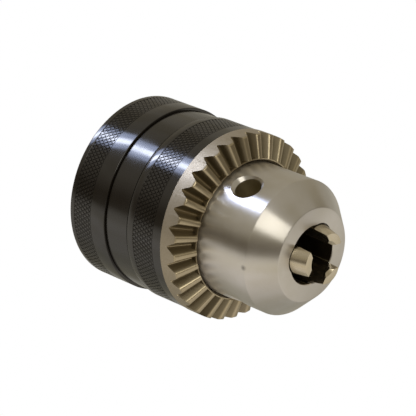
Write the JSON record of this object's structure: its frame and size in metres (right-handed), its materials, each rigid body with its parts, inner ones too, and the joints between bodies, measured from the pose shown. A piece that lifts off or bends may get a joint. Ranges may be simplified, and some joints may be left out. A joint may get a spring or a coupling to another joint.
{
  "type": "drill chuck",
  "caption": "Keyed drill chuck: a toothed sleeve turns a split nut that drives the self-centring jaws along inclined bores; key holes in the nose and a threaded rear mount.",
  "frame": {"origin": "centre of the rear face, at the mouth of the mounting thread", "axes": "+Z along the chuck's axis towards the nose and jaws; +X through jaw_1, the key holes are at 60, 180 and 300 degrees"},
  "size_m": [0.046, 0.046, 0.0617],
  "materials": {
    "bright_steel": "fine turned",
    "black_oxide_steel": "black oxide, oiled",
    "hardened_steel": "ground",
    "ground_jaw_steel": "ground",
    "bearing_steel": "polished",
    "brass_cage": "stamped"
  },
  "bodies": {
    "chuck_body": {"body": "bright_steel", "thrust_washer": "hardened_steel"},
    "toothed_sleeve": {"sleeve": "black_oxide_steel", "nut_half_1": "hardened_steel", "nut_half_2": "hardened_steel"},
    "ball_set": {"ball_cage": "brass_cage", "ball_1": "bearing_steel", "ball_2": "bearing_steel", "ball_3": "bearing_steel", "ball_4": "bearing_steel", "ball_5": "bearing_steel", "ball_6": "bearing_steel", "ball_7": "bearing_steel", "ball_8": "bearing_steel", "ball_9": "bearing_steel", "ball_10": "bearing_steel", "ball_11": "bearing_steel", "ball_12": "bearing_steel", "ball_13": "bearing_steel", "ball_14": "bearing_steel", "ball_15": "bearing_steel", "ball_16": "bearing_steel", "ball_17": "bearing_steel", "ball_18": "bearing_steel", "ball_19": "bearing_steel", "ball_20": "bearing_steel", "ball_21": "bearing_steel", "ball_22": "bearing_steel", "ball_23": "bearing_steel", "ball_24": "bearing_steel"},
    "jaw_1": {"jaw_1": "ground_jaw_steel"},
    "jaw_2": {"jaw_2": "ground_jaw_steel"},
    "jaw_3": {"jaw_3": "ground_jaw_steel"}
  },
  "joints": [
    {"name": "sleeve_spin", "type": "hinge", "parent": "chuck_body", "child": "toothed_sleeve", "pos_m": [0, 0, 0.03], "axis": [0, 0, 1], "range_deg": [-2340, 1889]},
    {"name": "ball_set_spin", "type": "hinge", "parent": "chuck_body", "child": "ball_set", "pos_m": [0, 0, 0.0246], "axis": [0, 0, 1], "range_deg": [-1170, 945]},
    {"name": "jaw_1_slide", "type": "slide", "parent": "chuck_body", "child": "jaw_1", "axis": [-0.2588, 0, 0.9659], "range_m": [-0.0105, 0.013]},
    {"name": "jaw_2_slide", "type": "slide", "parent": "chuck_body", "child": "jaw_2", "axis": [0.1294, -0.2241, 0.9659], "range_m": [-0.0105, 0.013]},
    {"name": "jaw_3_slide", "type": "slide", "parent": "chuck_body", "child": "jaw_3", "axis": [0.1294, 0.2241, 0.9659], "range_m": [-0.0105, 0.013]}
  ],
  "couplings": [
    {"joint": "ball_set_spin", "follows": "sleeve_spin", "ratio": 0.5},
    {"joint": "jaw_1_slide", "follows": "sleeve_spin", "m_per_rad": -0.00031831},
    {"joint": "jaw_2_slide", "follows": "sleeve_spin", "m_per_rad": -0.00031831},
    {"joint": "jaw_3_slide", "follows": "sleeve_spin", "m_per_rad": -0.00031831}
  ]
}
